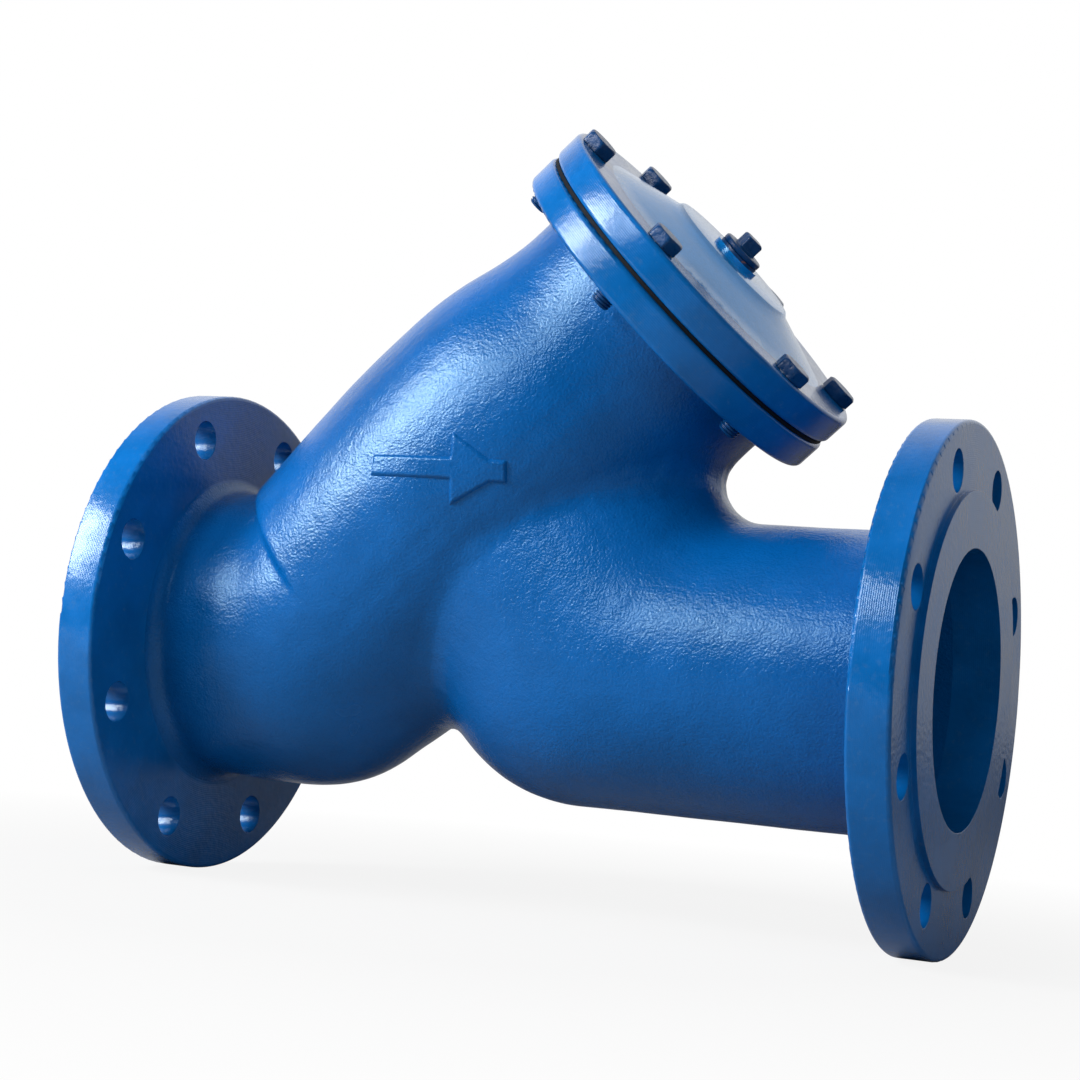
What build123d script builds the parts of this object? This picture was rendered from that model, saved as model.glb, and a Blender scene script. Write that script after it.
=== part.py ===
from build123d import *
from math import cos, radians, sin, tan
import os

# Flanged Y-pattern pipe strainer for 150 mm pipe, with its cleaning branch standing up.
# Millimetres. The origin is the centre of the inlet flange's bolt circle on its bolting face,
# +X runs along the pipe with the flow, and +Z is up, in the plane of the branch.

# Pipe ends
face_to_face = 480.0
flange_d = 285.0
flange_t = 23.0
raised_face_h = 3.0
raised_face_gap = 3.0
bore_d = 150.0
pipe_bolt_edge = 22.5
pipe_bolt_hole_d = 23.0
pipe_bolt_count = 8
rim_round = 2.5
hub_round = 9.0

# Casting
casting_wall = 9.0
chamber_wall = 7.0

# Cleaning branch, measured from the point where its axis meets the pipe's axis
branch_foot_x = 90.6
branch_angle = 44.2
branch_length = 296.5
branch_foot_r = 87.0
bulb_r = 86.7
shoulder_s = 36.0
shoulder_step = 6.8
shoulder_trim = 1.2
shoulder_trim_shift = 6.8
shoulder_flare = 0.08
belly_step = 16.2
belly_s = 150.0
belly_fall = 3.6
throat_neck = 16.0
branch_flange_t = 18.5
cover_round = 3.0
valley_round_most = 20.0
valley_land = 7.3

# Outlet chamber, which leaves the branch square to its axis and turns into the outlet tube
chamber_low_s = 38.5
chamber_ridge_drop = 22.0
heel_tangent = 40.0
ridge_tangent = 12.0
tube_lead = 36.0

# Screen seat, a wall across the foot of the branch
seat_wall_low_s = 10.0
seat_wall_t = 14.0
seat_ledge_w = 4.0
seat_recess_depth = 6.0

# Screen
screen_d = 140.0
screen_sheet_t = 1.5
screen_ring_t = 3.5
screen_ring_h = 12.0
screen_hole_d = 12.0
screen_holes_round = 20
screen_rows = 10
seam_strip_width = 14.0
seam_strip_t = 1.5
weld_gap = 0.3
running_gap = 0.3
screen_draw_gap = 3.0

# Cover and its joint
gasket_t = 2.0
gasket_inset = 1.5
cover_t = 18.0
cover_pad_d = 84.0
cover_pad_h = 14.0
cover_pad_step = 2.5
plug_boss_d = 30.0
plug_boss_h = 2.5
spigot_depth = 5.0
spigot_width = 12.0
cover_roof_t = 14.5

# Cover screws
cover_bolt_count = 6
cover_bolt_phase = 3.0
cover_bolt_d = 12.0
cover_bolt_length = 45.0
cover_bolt_head_af = 18.0
cover_bolt_head_h = 7.5
cover_bolt_chamfer = 1.0
cover_bolt_clearance = 1.5
cover_bolt_edge = 12.0
cover_bolt_throat_gap = 6.5
cover_bolt_head_gap = 5.0
thread_gap = 0.05

# Drain plug
plug_thread_d = 20.9
plug_thread_length = 13.0
plug_collar_d = 26.0
plug_collar_t = 3.5
plug_square = 10.5
plug_square_h = 8.0
plug_thread_chamfer = 1.3
plug_square_chamfer = 0.9
plug_washer_t = 1.5

# Pipe flanges, whose bolt circle and raised face follow the rim
outlet_face_x = face_to_face - 2 * raised_face_h
flange_r = flange_d / 2
pipe_bolt_circle_d = flange_d - 2 * pipe_bolt_edge
raised_face_d = pipe_bolt_circle_d - pipe_bolt_hole_d - 2 * raised_face_gap
bore_r = bore_d / 2
neck_r = bore_r + casting_wall
tube_r = bore_r + chamber_wall

# Places along the branch
throat_s = branch_length - branch_flange_t - throat_neck
chamber_high_s = throat_s - chamber_ridge_drop
seat_face_s = seat_wall_low_s + seat_wall_t
seat_ledge_s = seat_face_s - seat_recess_depth
gasket_top_s = branch_length + gasket_t
cover_top_s = gasket_top_s + cover_t
pad_top_s = cover_top_s + cover_pad_h
boss_top_s = pad_top_s + plug_boss_h
screen_top_s = gasket_top_s - running_gap
cover_roof_s = pad_top_s - cover_roof_t

# Radii round the branch, from the screen out to the rim of the cover
screen_r = screen_d / 2
screen_ring_r = screen_r + screen_ring_t
seat_hole_d = screen_d - 2 * seat_ledge_w
spigot_r = screen_r - screen_sheet_t - running_gap
branch_bore_r = screen_ring_r + screen_draw_gap
throat_r = branch_bore_r + casting_wall
belly_r = tube_r + belly_step
shoulder_r = belly_r - shoulder_step
shoulder_trim_r = shoulder_r - shoulder_trim
valley_round = min(valley_round_most, belly_r - throat_r + valley_land)
cover_bolt_circle_d = 2 * (throat_r + cover_bolt_throat_gap) + cover_bolt_d
cover_r = cover_bolt_circle_d / 2 + cover_bolt_edge
cover_land_d = cover_bolt_circle_d - cover_bolt_head_af - 2 * cover_bolt_head_gap
chamber_root_h = belly_r / 2

# Reference planes and axes
foot = Vector(branch_foot_x, 0, 0)
branch_dir = Vector(cos(radians(branch_angle)), 0, sin(radians(branch_angle)))
across_dir = Vector(-sin(radians(branch_angle)), 0, cos(radians(branch_angle)))
branch_axis = Axis(foot, branch_dir)
branch_plane = Plane(origin=foot, x_dir=across_dir, z_dir=branch_dir)
branch_section = Plane(origin=foot, x_dir=across_dir, z_dir=(0, 1, 0))


def on_branch(s, h):
    """Point of the middle plane at s along the branch's axis and h across it."""
    return foot + branch_dir * s + across_dir * h


def barrel_side(inset):
    """Points up the branch's wall, from its shoulder to the start of its throat."""
    return [
        (shoulder_r - inset, shoulder_s),
        (belly_r - inset, belly_s),
        (belly_r - belly_fall - inset, (belly_s + throat_s) / 2),
        (throat_r - inset, throat_s),
    ]


def corner(s, z):
    """Middle-plane point at s along the branch and at height z above the pipe's axis."""
    return Vector(branch_foot_x + (s - z * branch_dir.Z) / branch_dir.X, 0, z)


def bend(point, tangent):
    """Start, middle and end of the round turn from square to the branch to along the pipe."""
    turn = radians(90 - branch_angle)
    start = point + across_dir * tangent
    end = point + Vector(tangent, 0, 0)
    inward = ((start + end) * 0.5 - point).normalized()
    middle = point + inward * (tangent / tan(turn / 2) * (1 / cos(turn / 2) - 1))
    return [start, middle, end]


def cross_plane(top, bottom):
    """Plane of a cross-section between two middle-plane points, facing downstream."""
    rise = (top - bottom).normalized()
    return Plane(origin=(top + bottom) * 0.5, x_dir=rise, z_dir=(rise.Z, 0, -rise.X))


tube_start_x = corner(chamber_high_s, tube_r).X + tube_lead


def outlet_chamber(inset):
    """Outlet chamber and the start of the tube, drawn in from the cast surface by inset."""
    radius = tube_r - inset
    half_s = (chamber_high_s - chamber_low_s) / 2 - inset
    tops = bend(corner(chamber_high_s - inset, radius), ridge_tangent)
    bottoms = bend(corner(chamber_low_s + inset, -radius), heel_tangent)
    turns = [cross_plane(top, bottom) for top, bottom in zip(tops, bottoms)]
    root = on_branch((chamber_high_s + chamber_low_s) / 2, -chamber_root_h)
    with BuildPart() as chamber:
        with BuildSketch(Plane(origin=root, x_dir=branch_dir, z_dir=across_dir * -1)):
            Ellipse(half_s, radius)
        extrude(amount=2 * belly_r)
        split(bisect_by=turns[0], keep=Keep.BOTTOM)
        for plane, top, bottom in zip(turns, tops, bottoms):
            with BuildSketch(plane):
                Ellipse((top - bottom).length / 2, radius)
        loft()
    with BuildPart() as tube:
        with BuildSketch(Plane.YZ.offset(tube_start_x)):
            Circle(radius)
        extrude(amount=-face_to_face / 2)
        split(bisect_by=turns[-1], keep=Keep.TOP)
    return chamber.part + tube.part


def pipe_flange(face_x, back_x, hub_r):
    """Half section of a pipe flange with a length of its neck, for a revolve about the pipe."""
    neck_end = branch_foot_x if face_x < back_x else tube_start_x
    with BuildSketch(Plane.XZ) as section:
        with BuildLine():
            Polyline(
                (face_x, 0),
                (face_x, flange_r),
                (back_x, flange_r),
                (back_x, hub_r),
                (neck_end, hub_r),
                (neck_end, 0),
                close=True,
            )
        make_face()
        fillet(section.vertices().group_by(Axis.Y)[-1], radius=rim_round)
        fillet(section.vertices().sort_by_distance((back_x, hub_r, 0))[0], radius=hub_round)
    return section.sketch


def cover_bolt_places():
    """Places of the cover screws round the branch's axis."""
    start = 180 / cover_bolt_count + cover_bolt_phase
    return PolarLocations(cover_bolt_circle_d / 2, cover_bolt_count, start)


# Space of the inlet, the foot of the branch and up to the underside of the seat wall
with BuildPart() as inlet_passage:
    with BuildSketch(Plane.YZ.offset(-raised_face_h)):
        Circle(bore_r)
    extrude(amount=branch_foot_x + raised_face_h)
    with Locations(foot):
        Sphere(bulb_r - casting_wall)
    with BuildSketch(branch_plane):
        Circle(branch_foot_r - casting_wall)
    extrude(amount=seat_wall_low_s)
    split(bisect_by=branch_plane.offset(seat_wall_low_s), keep=Keep.BOTTOM)

with BuildPart() as body_casting:
    # Branch with its cover flange
    with BuildSketch(branch_section):
        with BuildLine():
            side = barrel_side(0)
            Polyline((0, 0), (branch_foot_r, 0), side[0])
            Spline(*side, tangents=[(shoulder_flare, 1), (0, 1)])
            Polyline(
                side[-1],
                (throat_r, branch_length - branch_flange_t),
                (cover_r, branch_length - branch_flange_t),
                (cover_r, branch_length),
                (0, branch_length),
                (0, 0),
            )
        make_face()
        fillet(vertices().group_by(Axis.X)[-1], radius=cover_round)
    revolve(axis=branch_axis)

    # Foot of the branch trimmed off centre, which leaves a shoulder that fades towards the outlet
    with BuildSketch(branch_plane):
        Circle(belly_r)
        with Locations((-shoulder_trim_shift, 0)):
            Circle(shoulder_trim_r, mode=Mode.SUBTRACT)
    extrude(amount=shoulder_s, mode=Mode.SUBTRACT)

    # Round foot of the branch
    with Locations(foot):
        Sphere(bulb_r)

    # Outlet chamber, with a cast round in the valley between it and the branch
    add(outlet_chamber(0))
    fillet(body_casting.edges(Select.NEW), radius=valley_round)

    # Outlet tube and flange
    revolve(pipe_flange(outlet_face_x, outlet_face_x - flange_t, tube_r), axis=Axis.X)
    with BuildSketch(Plane.YZ.offset(outlet_face_x)):
        Circle(raised_face_d / 2)
    extrude(amount=raised_face_h)

    # Inlet flange and neck
    revolve(pipe_flange(0, flange_t, neck_r), axis=Axis.X)
    with BuildSketch(Plane.YZ):
        Circle(raised_face_d / 2)
    extrude(amount=-raised_face_h)

    # Inlet side hollowed, with the seat wall left across the foot of the branch
    add(inlet_passage.part, mode=Mode.SUBTRACT)
    with BuildSketch(branch_plane.offset(seat_wall_low_s - seat_wall_t)):
        Circle(seat_hole_d / 2)
    extrude(amount=2 * seat_wall_t, mode=Mode.SUBTRACT)
    with BuildSketch(branch_plane.offset(seat_ledge_s)):
        Circle(screen_ring_r + running_gap)
    extrude(amount=seat_recess_depth, mode=Mode.SUBTRACT)

    # Screen chamber
    with BuildSketch(branch_section):
        with BuildLine():
            side = barrel_side(casting_wall)
            Polyline((0, seat_face_s), (side[0][0], seat_face_s), side[0])
            Spline(*side, tangents=[(shoulder_flare, 1), (0, 1)])
            Polyline(side[-1], (side[-1][0], branch_length), (0, branch_length), (0, seat_face_s))
        make_face()
    revolve(axis=branch_axis, mode=Mode.SUBTRACT)

    # Outlet passage
    add(outlet_chamber(chamber_wall), mode=Mode.SUBTRACT)
    with BuildSketch(Plane.YZ.offset(tube_start_x)):
        Circle(bore_r)
    extrude(amount=face_to_face - tube_start_x, mode=Mode.SUBTRACT)

    # Bolt holes of the pipe flanges and tapped holes of the branch flange
    for face_x in (0, outlet_face_x - flange_t):
        with BuildSketch(Plane.YZ.offset(face_x)):
            with PolarLocations(pipe_bolt_circle_d / 2, pipe_bolt_count, 180 / pipe_bolt_count):
                Circle(pipe_bolt_hole_d / 2)
        extrude(amount=flange_t, mode=Mode.SUBTRACT)
    with BuildSketch(branch_plane.offset(branch_length)):
        with cover_bolt_places():
            Circle(cover_bolt_d / 2 + thread_gap)
    extrude(amount=-branch_flange_t, mode=Mode.SUBTRACT)

# Cover with its raised middle, hollow underneath, and the spigot that centres the screen
with BuildPart() as cover:
    with BuildSketch(branch_section):
        with BuildLine():
            Polyline(
                (0, cover_roof_s),
                (spigot_r - spigot_width - cover_pad_h, cover_roof_s),
                (spigot_r - spigot_width, gasket_top_s),
                (spigot_r - spigot_width, gasket_top_s - spigot_depth),
                (spigot_r, gasket_top_s - spigot_depth),
                (spigot_r, gasket_top_s),
                (cover_r, gasket_top_s),
                (cover_r, cover_top_s),
                (cover_land_d / 2, cover_top_s),
                (cover_pad_d / 2 + cover_pad_step, pad_top_s - cover_pad_step),
                (cover_pad_d / 2, pad_top_s),
                (plug_boss_d / 2, pad_top_s),
                (plug_boss_d / 2, boss_top_s),
                (0, boss_top_s),
                close=True,
            )
        make_face()
        fillet(vertices().group_by(Axis.X)[-1], radius=cover_round)
    revolve(axis=branch_axis)
    with BuildSketch(branch_plane.offset(cover_top_s)):
        with cover_bolt_places():
            Circle((cover_bolt_d + cover_bolt_clearance) / 2)
    extrude(amount=-cover_t, mode=Mode.SUBTRACT)
    with BuildSketch(branch_plane.offset(boss_top_s)):
        Circle(plug_thread_d / 2 + thread_gap)
    extrude(amount=cover_roof_s - boss_top_s, mode=Mode.SUBTRACT)

# Flat gasket over the whole joint
with BuildPart() as cover_gasket:
    with BuildSketch(branch_plane.offset(branch_length)):
        Circle(cover_r - gasket_inset)
        Circle(branch_bore_r + gasket_inset, mode=Mode.SUBTRACT)
        with cover_bolt_places():
            Circle((cover_bolt_d + cover_bolt_clearance) / 2, mode=Mode.SUBTRACT)
    extrude(amount=gasket_t)

# Rolled and perforated screen sheet, with staggered rows of holes that leave its seam plain
screen_length = screen_top_s - seat_ledge_s
row_pitch = (screen_length - 2 * screen_ring_h) / screen_rows
seam_clear = (seam_strip_width + screen_hole_d) / 2
hole_places = []
for row in range(screen_rows):
    height = seat_ledge_s + screen_ring_h + (row + 0.5) * row_pitch
    for column in range(screen_holes_round):
        turn = (column + 0.5 * (row % 2) + 0.25) * 360 / screen_holes_round
        if radians(min(turn, 360 - turn)) * screen_r > seam_clear:
            hole_places.append(branch_plane.offset(height).location * Rotation(0, 0, turn))
with BuildPart() as screen_sheet:
    with BuildSketch(branch_plane.offset(seat_ledge_s)):
        Circle(screen_r)
        Circle(screen_r - screen_sheet_t, mode=Mode.SUBTRACT)
    extrude(amount=screen_length)
    with Locations(*[place * Pos(screen_r, 0, 0) * Rotation(0, 90, 0) for place in hole_places]):
        Cylinder(screen_hole_d / 2, 4 * screen_sheet_t, mode=Mode.SUBTRACT)

# Stiffening rings at the screen's ends, the lower one seated in the body
screen_rings = []
for low_s in (seat_ledge_s, screen_top_s - screen_ring_h):
    with BuildPart() as ring:
        with BuildSketch(branch_plane.offset(low_s)):
            Circle(screen_ring_r)
            Circle(screen_r + weld_gap, mode=Mode.SUBTRACT)
        extrude(amount=screen_ring_h)
    screen_rings.append(ring)
screen_seat_ring, screen_top_ring = screen_rings

# Strip over the seam of the rolled sheet, on the side that faces the inlet flange
with BuildPart() as screen_seam_strip:
    with BuildSketch(branch_plane.offset(seat_ledge_s + screen_ring_h)):
        Circle(screen_r + weld_gap + seam_strip_t)
        Circle(screen_r + weld_gap, mode=Mode.SUBTRACT)
        with Locations((screen_r, 0)):
            Rectangle(screen_r, seam_strip_width, mode=Mode.INTERSECT)
    extrude(amount=screen_length - 2 * screen_ring_h)

# Cover screws, each a hexagon head and a plain shank as thick as its thread
cover_bolts = []
with BuildSketch(branch_plane.offset(cover_top_s)) as bolt_centres:
    with cover_bolt_places():
        Circle(cover_bolt_d / 2)
for circle in bolt_centres.sketch.faces():
    seat = Plane(origin=circle.center(), x_dir=across_dir, z_dir=branch_dir)
    with BuildPart() as bolt:
        with BuildSketch(seat):
            RegularPolygon(cover_bolt_head_af / 2, 6, major_radius=False)
        extrude(amount=cover_bolt_head_h)
        with BuildSketch(seat):
            Circle(cover_bolt_d / 2)
        extrude(amount=-cover_bolt_length)
        tip = bolt.edges().filter_by(GeomType.CIRCLE).sort_by(branch_axis)[0]
        chamfer(tip, length=cover_bolt_chamfer)
    cover_bolts.append(bolt)

# Soft washer and square-headed drain plug in the middle of the cover
with BuildPart() as plug_washer:
    with BuildSketch(branch_plane.offset(boss_top_s)):
        Circle(plug_collar_d / 2)
        Circle(plug_thread_d / 2 + thread_gap, mode=Mode.SUBTRACT)
    extrude(amount=plug_washer_t)

with BuildPart() as drain_plug:
    collar_s = boss_top_s + plug_washer_t
    with BuildSketch(branch_plane.offset(collar_s)):
        Circle(plug_thread_d / 2)
    extrude(amount=-plug_thread_length)
    thread_end = drain_plug.edges().filter_by(GeomType.CIRCLE).sort_by(branch_axis)[0]
    chamfer(thread_end, length=plug_thread_chamfer)
    with BuildSketch(branch_plane.offset(collar_s)):
        Circle(plug_collar_d / 2)
    extrude(amount=plug_collar_t)
    with BuildSketch(branch_plane.offset(collar_s + plug_collar_t)):
        Rectangle(plug_square, plug_square)
    extrude(amount=plug_square_h)
    square_top = drain_plug.faces().sort_by(branch_axis)[-1]
    chamfer(square_top.edges(), length=plug_square_chamfer)

pieces = {
    "body_casting": body_casting,
    "cover": cover,
    "cover_gasket": cover_gasket,
    "screen_sheet": screen_sheet,
    "screen_seat_ring": screen_seat_ring,
    "screen_top_ring": screen_top_ring,
    "screen_seam_strip": screen_seam_strip,
    "plug_washer": plug_washer,
    "drain_plug": drain_plug,
}
for number, bolt in enumerate(cover_bolts, 1):
    pieces[f"cover_bolt_{number}"] = bolt

os.makedirs("parts", exist_ok=True)
for name, piece in pieces.items():
    piece.part.label = name
    export_step(piece.part, f"parts/{name}.step")
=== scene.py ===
"""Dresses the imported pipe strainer: painted castings, machined faces, threads and a fine screen."""

from math import cos, pi, radians, sin, sqrt, tan

import bmesh
import bpy
import numpy as np
from bpy.props import FloatProperty, FloatVectorProperty, IntProperty, PointerProperty
from mathutils import Matrix, Vector, noise
from mathutils.bvhtree import BVHTree


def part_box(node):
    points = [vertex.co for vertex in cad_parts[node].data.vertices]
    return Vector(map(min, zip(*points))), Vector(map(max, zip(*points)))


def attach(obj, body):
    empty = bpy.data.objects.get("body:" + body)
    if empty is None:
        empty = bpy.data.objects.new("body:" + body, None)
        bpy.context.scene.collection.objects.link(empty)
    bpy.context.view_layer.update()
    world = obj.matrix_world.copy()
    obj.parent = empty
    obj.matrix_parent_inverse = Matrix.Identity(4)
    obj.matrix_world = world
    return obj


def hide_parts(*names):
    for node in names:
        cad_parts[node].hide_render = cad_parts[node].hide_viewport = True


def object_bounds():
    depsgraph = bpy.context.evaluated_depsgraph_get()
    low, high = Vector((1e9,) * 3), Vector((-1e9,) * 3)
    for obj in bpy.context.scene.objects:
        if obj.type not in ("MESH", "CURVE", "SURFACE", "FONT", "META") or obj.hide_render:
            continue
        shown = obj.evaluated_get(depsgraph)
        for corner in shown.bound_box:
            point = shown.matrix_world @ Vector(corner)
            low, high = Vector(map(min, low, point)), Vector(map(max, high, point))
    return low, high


bl_info = {
    "name": "Pipe Strainer",
    "version": (1, 0, 0),
    "blender": (4, 5, 0),
    "location": "View3D > Sidebar > Strainer",
    "description": "Builds the painted, machined and perforated surfaces of a flanged pipe strainer",
    "category": "Add Mesh",
}

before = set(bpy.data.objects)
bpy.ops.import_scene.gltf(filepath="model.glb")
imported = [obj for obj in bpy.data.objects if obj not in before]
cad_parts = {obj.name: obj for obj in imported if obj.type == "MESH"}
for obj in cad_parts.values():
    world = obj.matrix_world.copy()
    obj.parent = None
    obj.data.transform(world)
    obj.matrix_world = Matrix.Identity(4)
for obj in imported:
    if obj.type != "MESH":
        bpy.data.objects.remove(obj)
cad_low, cad_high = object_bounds()

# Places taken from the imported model, in metres
BRANCH_FOOT = Vector((0.0906, 0, 0))
BRANCH_ANGLE = radians(44.2)
ALONG = Vector((cos(BRANCH_ANGLE), 0, sin(BRANCH_ANGLE)))
ACROSS = Vector((-sin(BRANCH_ANGLE), 0, cos(BRANCH_ANGLE)))
BRANCH_TURN = Matrix((ACROSS, (0, -1, 0), ALONG)).transposed().to_4x4()
BRANCH_PLACE = Matrix.Translation(BRANCH_FOOT) @ BRANCH_TURN

# The flange discs keep the exact machined solid, and the cast skin between them is made anew
INLET_CUT = 0.0234
OUTLET_CUT = 0.4506
BRANCH_CUT = 0.2777
CUT_OVERLAP = 0.0004
BRANCH_CUT_REACH = 0.125
BARREL_LOW = 0.1
BARREL_HIGH = 0.2

# The neck swells from the inlet flange into the round foot of the branch, the bulb
NECK_START = 0.033
NECK_END = 0.086
NECK_R = 0.084
BULB_R = 0.0866
BULB_EASE_TOP = 0.031
BULB_EASE_END = 0.16
MOULD_FADE = 0.012

# Heights along the branch, the air under seated fasteners, and the slack in comparing heights
COVER_FACE = 0.3165
COVER_LAND_R = 0.084
PLUG_SEAT = 0.3345
SEAT_GAP = 0.00002
SLACK = 1e-5

SHARP_ANGLE = radians(60)
SCREWS = 6

# The camera, fitted to the photograph, and the point that the lamps look at
CAMERA_PLACE = (0.7547, -1.1977, -0.0225)
CAMERA_TURN = radians(23.91)
CAMERA_TILT = radians(-3.89)
CAMERA_ROLL = radians(4.97)
CAMERA_LENS = 76.38
LAMP_TARGET = Vector((0.22, 0.0, 0.05))
FLOOR_REACH = 12.0


class PaintSettings(bpy.types.PropertyGroup):
    cast_colour: FloatVectorProperty(
        name="Cast colour",
        description="Blue enamel on the rough cast surfaces",
        subtype="COLOR",
        size=3,
        min=0,
        max=1,
        default=(0.0005, 0.079, 0.285),
    )
    machined_colour: FloatVectorProperty(
        name="Machined colour",
        description="Blue enamel on the turned rims and faces",
        subtype="COLOR",
        size=3,
        min=0,
        max=1,
        default=(0.001, 0.096, 0.325),
    )
    # Paler copy of the blue enamel, about twice as light as the cast colour: painted reflection of the bright
    # backdrop on the cover's top
    cover_painted_reflection_colour: FloatVectorProperty(
        name="Cover colour",
        description="Blue enamel on the cover's raised middle",
        subtype="COLOR",
        size=3,
        min=0,
        max=1,
        default=(0.004, 0.21, 0.6),
    )
    # Darker copy of the blue enamel, about half as light as the cast colour: painted shade of the screw
    # heads' sides
    fastener_painted_shade_colour: FloatVectorProperty(
        name="Fastener colour",
        description="Blue enamel on the screw heads and the drain plug",
        subtype="COLOR",
        size=3,
        min=0,
        max=1,
        default=(0.001, 0.04, 0.14),
    )
    mirror_tint: FloatVectorProperty(
        name="Mirror tint",
        description="Tint of the enamel's reflections",
        subtype="COLOR",
        size=3,
        min=0,
        max=1,
        default=(0.5, 0.82, 1.0),
    )
    peel_size: FloatProperty(
        name="Peel size",
        description="Width of one bump of the cast texture under the paint",
        subtype="DISTANCE",
        unit="LENGTH",
        default=0.0014,
    )
    peel_depth: FloatProperty(
        name="Peel depth",
        description="Height of the cast texture",
        subtype="DISTANCE",
        unit="LENGTH",
        default=0.0003,
    )


class CastingSettings(bpy.types.PropertyGroup):
    grid: FloatProperty(
        name="Grid",
        description="Size of the mesh's squares on the cast skin",
        subtype="DISTANCE",
        unit="LENGTH",
        default=0.0016,
    )
    rounding_passes: IntProperty(
        name="Rounding passes",
        description="How often the cast skin's corners are eased",
        default=3,
        min=0,
    )
    bulb_passes: IntProperty(
        name="Bulb passes",
        description="How often the foot of the branch is eased into the neck",
        default=90,
        min=0,
    )
    wave_height: FloatProperty(
        name="Wave height",
        description="Unevenness that the sand mould leaves",
        subtype="DISTANCE",
        unit="LENGTH",
        default=0.0004,
    )
    wave_length: FloatProperty(
        name="Wave length",
        description="Distance from one wave of the mould to the next",
        subtype="DISTANCE",
        unit="LENGTH",
        default=0.05,
    )
    edge_break: FloatProperty(
        name="Edge break",
        description="Width of the eased edges of holes and machined steps",
        subtype="DISTANCE",
        unit="LENGTH",
        default=0.0006,
    )


class ArrowSettings(bpy.types.PropertyGroup):
    length: FloatProperty(
        name="Length",
        description="Length of the raised flow arrow",
        subtype="DISTANCE",
        unit="LENGTH",
        default=0.078,
    )
    relief: FloatProperty(
        name="Relief",
        description="Height of the raised flow arrow",
        subtype="DISTANCE",
        unit="LENGTH",
        default=0.0018,
    )
    along: FloatProperty(
        name="Place along the branch",
        description="Distance of the arrow's middle up the branch",
        subtype="DISTANCE",
        unit="LENGTH",
        default=0.146,
    )
    across: FloatProperty(
        name="Place across the branch",
        description="Distance of the arrow's middle from the branch's axis",
        subtype="DISTANCE",
        unit="LENGTH",
        default=-0.009,
    )


class ScrewSettings(bpy.types.PropertyGroup):
    thread_d: FloatProperty(
        name="Thread diameter",
        description="Outside diameter of the cover screws",
        subtype="DISTANCE",
        unit="LENGTH",
        default=0.01196,
    )
    thread_pitch: FloatProperty(
        name="Thread pitch",
        description="Distance from one turn of the thread to the next",
        subtype="DISTANCE",
        unit="LENGTH",
        default=0.00175,
    )
    length: FloatProperty(
        name="Length",
        description="Length under the head",
        subtype="DISTANCE",
        unit="LENGTH",
        default=0.045,
    )
    head_flats: FloatProperty(
        name="Head across flats",
        description="Width of the hexagon head",
        subtype="DISTANCE",
        unit="LENGTH",
        default=0.018,
    )
    head_height: FloatProperty(
        name="Head height",
        description="Height of the hexagon head",
        subtype="DISTANCE",
        unit="LENGTH",
        default=0.0075,
    )
    circle_d: FloatProperty(
        name="Screw circle",
        description="Diameter of the circle that the cover screws stand on",
        subtype="DISTANCE",
        unit="LENGTH",
        default=0.196,
    )
    first_turn: FloatProperty(
        name="First screw",
        description="Angle of the first screw round the branch",
        subtype="ANGLE",
        unit="ROTATION",
        default=radians(33),
    )


class PlugSettings(bpy.types.PropertyGroup):
    thread_d: FloatProperty(
        name="Thread diameter",
        description="Outside diameter of the drain plug's pipe thread",
        subtype="DISTANCE",
        unit="LENGTH",
        default=0.0208,
    )
    thread_pitch: FloatProperty(
        name="Thread pitch",
        description="Distance from one turn of the thread to the next",
        subtype="DISTANCE",
        unit="LENGTH",
        default=0.001814,
    )
    square: FloatProperty(
        name="Square",
        description="Width of the drain plug's square head",
        subtype="DISTANCE",
        unit="LENGTH",
        default=0.0105,
    )
    collar_d: FloatProperty(
        name="Collar diameter",
        description="Diameter of the drain plug's collar",
        subtype="DISTANCE",
        unit="LENGTH",
        default=0.026,
    )


class ScreenSettings(bpy.types.PropertyGroup):
    hole_d: FloatProperty(
        name="Hole diameter",
        description="Diameter of the screen's small holes",
        subtype="DISTANCE",
        unit="LENGTH",
        default=0.005,
    )
    holes_round: IntProperty(
        name="Holes round",
        description="Number of holes in each row round the screen",
        default=54,
        min=6,
    )


class StageSettings(bpy.types.PropertyGroup):
    floor_colour: FloatVectorProperty(
        name="Floor colour",
        description="Colour of the plain floor",
        subtype="COLOR",
        size=3,
        min=0,
        max=1,
        default=(0.34, 0.34, 0.34),
    )
    key_power: FloatProperty(
        name="Key lamp",
        description="Power of the soft lamp at the front left",
        subtype="POWER",
        unit="POWER",
        default=55.0,
    )
    top_power: FloatProperty(
        name="Top lamp",
        description="Power of the wide lamp overhead",
        subtype="POWER",
        unit="POWER",
        default=12.0,
    )
    fill_power: FloatProperty(
        name="Fill lamp",
        description="Power of the weak lamp at the right",
        subtype="POWER",
        unit="POWER",
        default=9.0,
    )
    front_power: FloatProperty(
        name="Front lamp",
        description="Power of the small lamp whose long highlight lies on the tube",
        subtype="POWER",
        unit="POWER",
        default=18.0,
    )
    sky: FloatProperty(
        name="Sky",
        description="Strength of the even light from all round",
        default=0.1,
        min=0,
    )


# Nodes of the finishes


def add_node(tree, kind, inputs=(), **settings):
    """Node of a kind with its settings, its inputs set to values or joined to outputs."""
    made = tree.nodes.new(kind)
    for key, value in settings.items():
        setattr(made, key, value)
    for key, value in dict(inputs).items():
        if isinstance(value, bpy.types.NodeSocket):
            tree.links.new(value, made.inputs[key])
        else:
            made.inputs[key].default_value = value
    return made


def new_finish(name, roughness, metallic=0.0):
    """Empty finish with its node tree, its shader and the object's own coordinates."""
    finish = bpy.data.materials.new(name)
    finish.use_nodes = True
    tree = finish.node_tree
    shader = tree.nodes["Principled BSDF"]
    shader.inputs["Roughness"].default_value = roughness
    shader.inputs["Metallic"].default_value = metallic
    place = add_node(tree, "ShaderNodeTexCoord").outputs["Object"]
    return finish, tree, shader, place


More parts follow.
